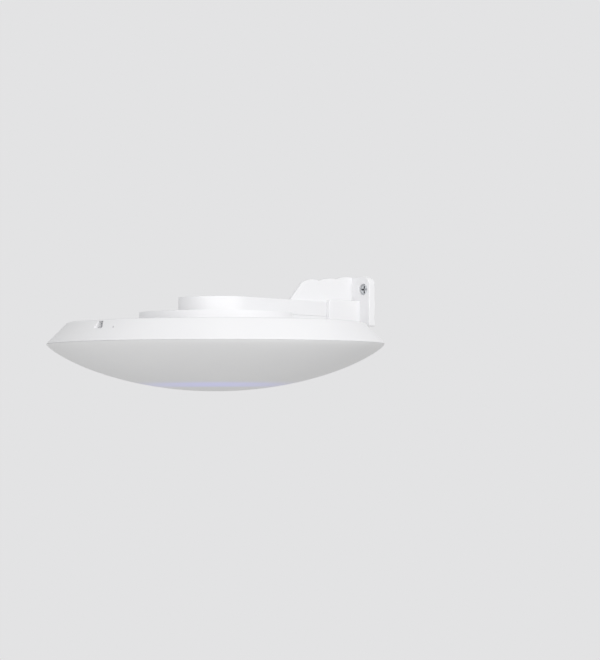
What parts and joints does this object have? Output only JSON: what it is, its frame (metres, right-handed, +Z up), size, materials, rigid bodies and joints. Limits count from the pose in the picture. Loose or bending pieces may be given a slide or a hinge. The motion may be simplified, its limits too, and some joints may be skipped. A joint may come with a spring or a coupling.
{
  "type": "ceiling access point",
  "caption": "Round white wireless access point with a shallow dome below and a chamfered back, twist-locked under a tapered wall arm with a ribbed top and a small screw-on wall plate.",
  "frame": {"origin": "middle of the wall plate's back face, on the wall", "axes": "+Y into the wall, +X to the right as seen from the room, +Z up"},
  "size_m": [0.22, 0.243, 0.079],
  "materials": {
    "white_plastic": "moulded white polycarbonate blend, satin",
    "dome_plastic": "moulded white polycarbonate, satin, lit from inside round its lowest part",
    "black_plastic": "moulded black nylon",
    "grey_plastic": "moulded grey acetal",
    "grey_rubber": "soft seal",
    "clear_guide": "clear moulded light guide",
    "circuit_board": "glass laminate with solder mask",
    "tinned_steel": "tinned sheet steel",
    "aluminium": "plain sheet aluminium",
    "thermal_pad": "soft heat pad",
    "ferrite": "ferrite core, matt",
    "spring_steel": "drawn wire",
    "zinc_steel": "zinc plated screws"
  },
  "bodies": {
    "wall_mount": {"wall_plate": "white_plastic", "arm_shell": "white_plastic", "mount_base": "white_plastic", "foot_cover_right": "white_plastic", "foot_cover_left": "white_plastic", "wall_screw_right": "zinc_steel", "wall_screw_left": "zinc_steel", "arm_bolt_right": "zinc_steel", "arm_bolt_left": "zinc_steel", "base_screw_1": "zinc_steel", "base_screw_2": "zinc_steel", "base_screw_3": "zinc_steel", "base_screw_4": "zinc_steel"},
    "access_point": {"radome": "dome_plastic", "rear_cover": "white_plastic", "socket_cup": "white_plastic", "rim_gasket": "grey_rubber", "main_board": "circuit_board", "antenna_plate": "aluminium", "heat_spreader": "aluminium", "processor_shield": "tinned_steel", "radio_shield_1": "tinned_steel", "radio_shield_2": "tinned_steel", "thermal_pad_1": "thermal_pad", "thermal_pad_2": "thermal_pad", "thermal_pad_3": "thermal_pad", "power_transformer": "ferrite", "ethernet_jack": "black_plastic", "antenna_low_1": "tinned_steel", "antenna_low_2": "tinned_steel", "antenna_low_3": "tinned_steel", "antenna_low_4": "tinned_steel", "antenna_high_1": "tinned_steel", "antenna_high_2": "tinned_steel", "antenna_high_3": "tinned_steel", "antenna_high_4": "tinned_steel", "led_board": "circuit_board", "light_guide": "clear_guide", "housing_screw_1": "zinc_steel", "housing_screw_2": "zinc_steel", "housing_screw_3": "zinc_steel", "housing_screw_4": "zinc_steel", "reset_switch": "black_plastic", "latch_spring": "spring_steel"},
    "release_latch": {"release_latch": "grey_plastic"},
    "reset_button": {"reset_button": "black_plastic"}
  },
  "joints": [
    {"name": "twist_lock", "type": "hinge", "parent": "wall_mount", "child": "access_point", "pos_m": [0, -0.133, -0.0315], "axis": [0, 0, -1], "range_deg": [0, 18]},
    {"name": "latch_slide", "type": "slide", "parent": "access_point", "child": "release_latch", "axis": [0, 1, 0], "range_m": [0, 0.003], "stiffness_N_per_m": 300, "springref_m": -0.002, "deforming": ["latch_spring"]},
    {"name": "reset_press", "type": "slide", "parent": "access_point", "child": "reset_button", "axis": [-0.1323, 0.9912, 0], "range_m": [0, 0.0008], "stiffness_N_per_m": 500, "springref_m": -0.0004}
  ]
}
